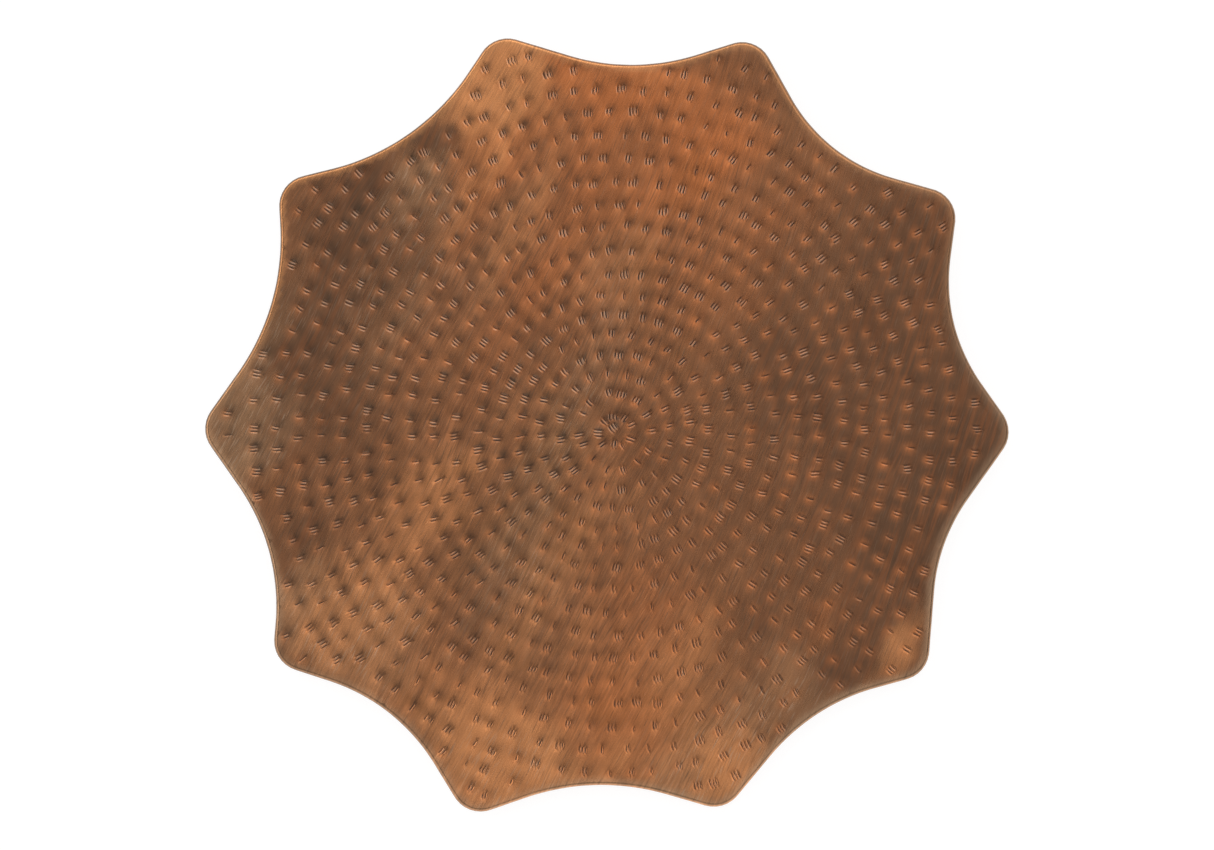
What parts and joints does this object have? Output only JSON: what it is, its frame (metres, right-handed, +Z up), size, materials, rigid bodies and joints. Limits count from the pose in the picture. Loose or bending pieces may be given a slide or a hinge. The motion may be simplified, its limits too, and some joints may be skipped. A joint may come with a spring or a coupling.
{
  "type": "hammered copper tray",
  "caption": "Flat hammered copper tray with a scalloped outline, an edge rolled round a wire, and a low soldered foot ring underneath.",
  "frame": {"origin": "middle of the tray's outline, on the plane that the felt pads stand on", "axes": "+Z up out of the hammered face; +X along the longest extent, about one degree from the tip of a point"},
  "size_m": [0.5004, 0.4816, 0.0173],
  "materials": {
    "copper": "aged copper, brushed and hammered with ribbed marks",
    "foot_copper": "plain rolled copper strip, lightly tarnished",
    "steel_wire": "drawn steel wire",
    "solder": "dull soft solder",
    "felt": "dark pressed wool felt"
  },
  "bodies": {
    "root": {"hammered_sheet": "copper", "edge_wire": "steel_wire", "foot_ring": "foot_copper", "foot_solder": "solder", "splice_plate": "foot_copper", "splice_rivets": "foot_copper", "foot_pads": "felt"}
  },
  "joints": []
}
